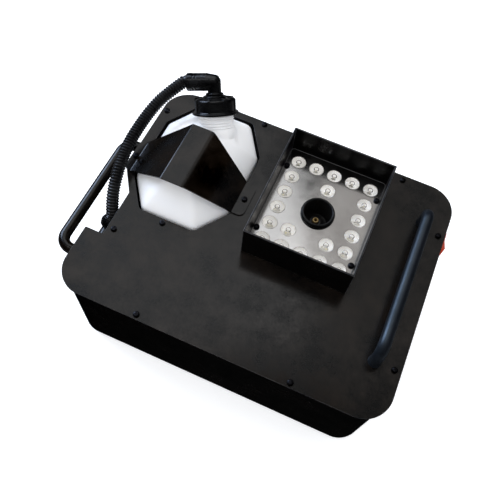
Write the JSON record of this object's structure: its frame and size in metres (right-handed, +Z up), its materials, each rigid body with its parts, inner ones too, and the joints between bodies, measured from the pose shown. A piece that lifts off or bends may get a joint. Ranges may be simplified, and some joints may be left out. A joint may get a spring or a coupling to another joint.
{
  "type": "fog machine",
  "caption": "Upward-firing fog machine: flat black steel case, square light hood round a fog nozzle, strapped fluid bottle with cap, elbow and hose, and two bar handles.",
  "frame": {"origin": "middle of the footprint's box, on the surface the rubber feet stand on", "axes": "+X along the case's long side, towards the switch and sockets; +Y from the case's front to its vented back; +Z up, the way the fog fires"},
  "size_m": [0.4118, 0.295, 0.2076],
  "materials": {
    "painted_steel": "fine black powder coat, satin",
    "painted_tube": "fine black powder coat, satin",
    "foot_rubber": "matt moulded",
    "galvanised": "zinc plated, dull",
    "milky_plastic": "natural blow-moulded polyethylene, slightly waxy",
    "black_plastic": "moulded, semi-gloss",
    "corrugated_hose": "extruded corrugated conduit, semi-gloss",
    "satin_reflector": "satin, mirror-like",
    "clear_lens": "clear moulded lens",
    "white_board": "white solder mask",
    "brass_nozzle": "turned",
    "cast_aluminium": "as cast",
    "fluid_tubing": "translucent fluoropolymer tube",
    "panel_plastic": "fine moulded texture",
    "rocker_red": "moulded, semi-gloss",
    "smoked_window": "smoked clear plastic over a display, polished",
    "circuit_board": "green solder mask",
    "screw_black": "black zinc"
  },
  "bodies": {
    "case": {"body_shell": "painted_steel", "bottle_strap": "painted_steel", "bottle_well": "painted_steel", "bottom_plate": "painted_steel", "cap_elbow": "black_plastic", "control_board": "circuit_board", "data_socket_in": "panel_plastic", "data_socket_out": "panel_plastic", "display_window": "smoked_window", "fluid_bottle": "milky_plastic", "heater_block": "cast_aluminium", "heater_cover": "galvanised", "hose": "corrugated_hose", "hose_gland": "black_plastic", "led_board": "white_board", "led_panel": "satin_reflector", "left_handle": "painted_tube", "lens_array": "clear_lens", "light_hood": "painted_steel", "menu_panel": "panel_plastic", "nozzle_shroud": "black_plastic", "nozzle_tip": "brass_nozzle", "panel_screw_1": "screw_black", "panel_screw_2": "screw_black", "panel_screw_3": "screw_black", "panel_screw_4": "screw_black", "plate_screw_1": "screw_black", "plate_screw_2": "screw_black", "plate_screw_3": "screw_black", "plate_screw_4": "screw_black", "plate_screw_5": "screw_black", "plate_screw_6": "screw_black", "plate_screw_7": "screw_black", "plate_screw_8": "screw_black", "plate_screw_9": "screw_black", "power_inlet": "panel_plastic", "power_supply": "circuit_board", "pressure_tube": "fluid_tubing", "pump_body": "galvanised", "right_handle": "painted_tube", "rocker_bezel": "panel_plastic", "rubber_foot_1": "foot_rubber", "rubber_foot_2": "foot_rubber", "rubber_foot_3": "foot_rubber", "rubber_foot_4": "foot_rubber", "strap_screw_1": "screw_black", "strap_screw_2": "screw_black", "suction_tube": "fluid_tubing", "thermostat": "black_plastic", "top_plate": "painted_steel"},
    "rocker": {"power_rocker": "rocker_red"},
    "cap": {"bottle_cap": "black_plastic"},
    "plunger": {"pump_plunger": "satin_reflector"},
    "latch": {"socket_latch": "galvanised"},
    "button_1": {"menu_button_1": "panel_plastic"},
    "button_2": {"menu_button_2": "panel_plastic"},
    "button_3": {"menu_button_3": "panel_plastic"},
    "button_4": {"menu_button_4": "panel_plastic"}
  },
  "joints": [
    {"name": "rocker_tilt", "type": "hinge", "parent": "case", "child": "rocker", "pos_m": [0.19962, 0.089, 0.117], "axis": [0, 0, 1], "range_deg": [-18, 0]},
    {"name": "cap_turn", "type": "hinge", "parent": "case", "child": "cap", "pos_m": [-0.08968, 0.0924, 0.1567], "axis": [-0.3343, 0.5721, 0.749], "range_deg": [0, 90]},
    {"name": "pump_stroke", "type": "slide", "parent": "case", "child": "plunger", "axis": [1, 0, 0], "range_m": [-0.003, 0.003], "stiffness_N_per_m": 2500},
    {"name": "latch_press", "type": "slide", "parent": "case", "child": "latch", "axis": [-1, 0, 0], "range_m": [0, 0.002], "stiffness_N_per_m": 600},
    {"name": "menu_press_1", "type": "slide", "parent": "case", "child": "button_1", "axis": [-1, 0, 0], "range_m": [0, 0.001], "stiffness_N_per_m": 900},
    {"name": "menu_press_2", "type": "slide", "parent": "case", "child": "button_2", "axis": [-1, 0, 0], "range_m": [0, 0.001], "stiffness_N_per_m": 900},
    {"name": "menu_press_3", "type": "slide", "parent": "case", "child": "button_3", "axis": [-1, 0, 0], "range_m": [0, 0.001], "stiffness_N_per_m": 900},
    {"name": "menu_press_4", "type": "slide", "parent": "case", "child": "button_4", "axis": [-1, 0, 0], "range_m": [0, 0.001], "stiffness_N_per_m": 900}
  ]
}
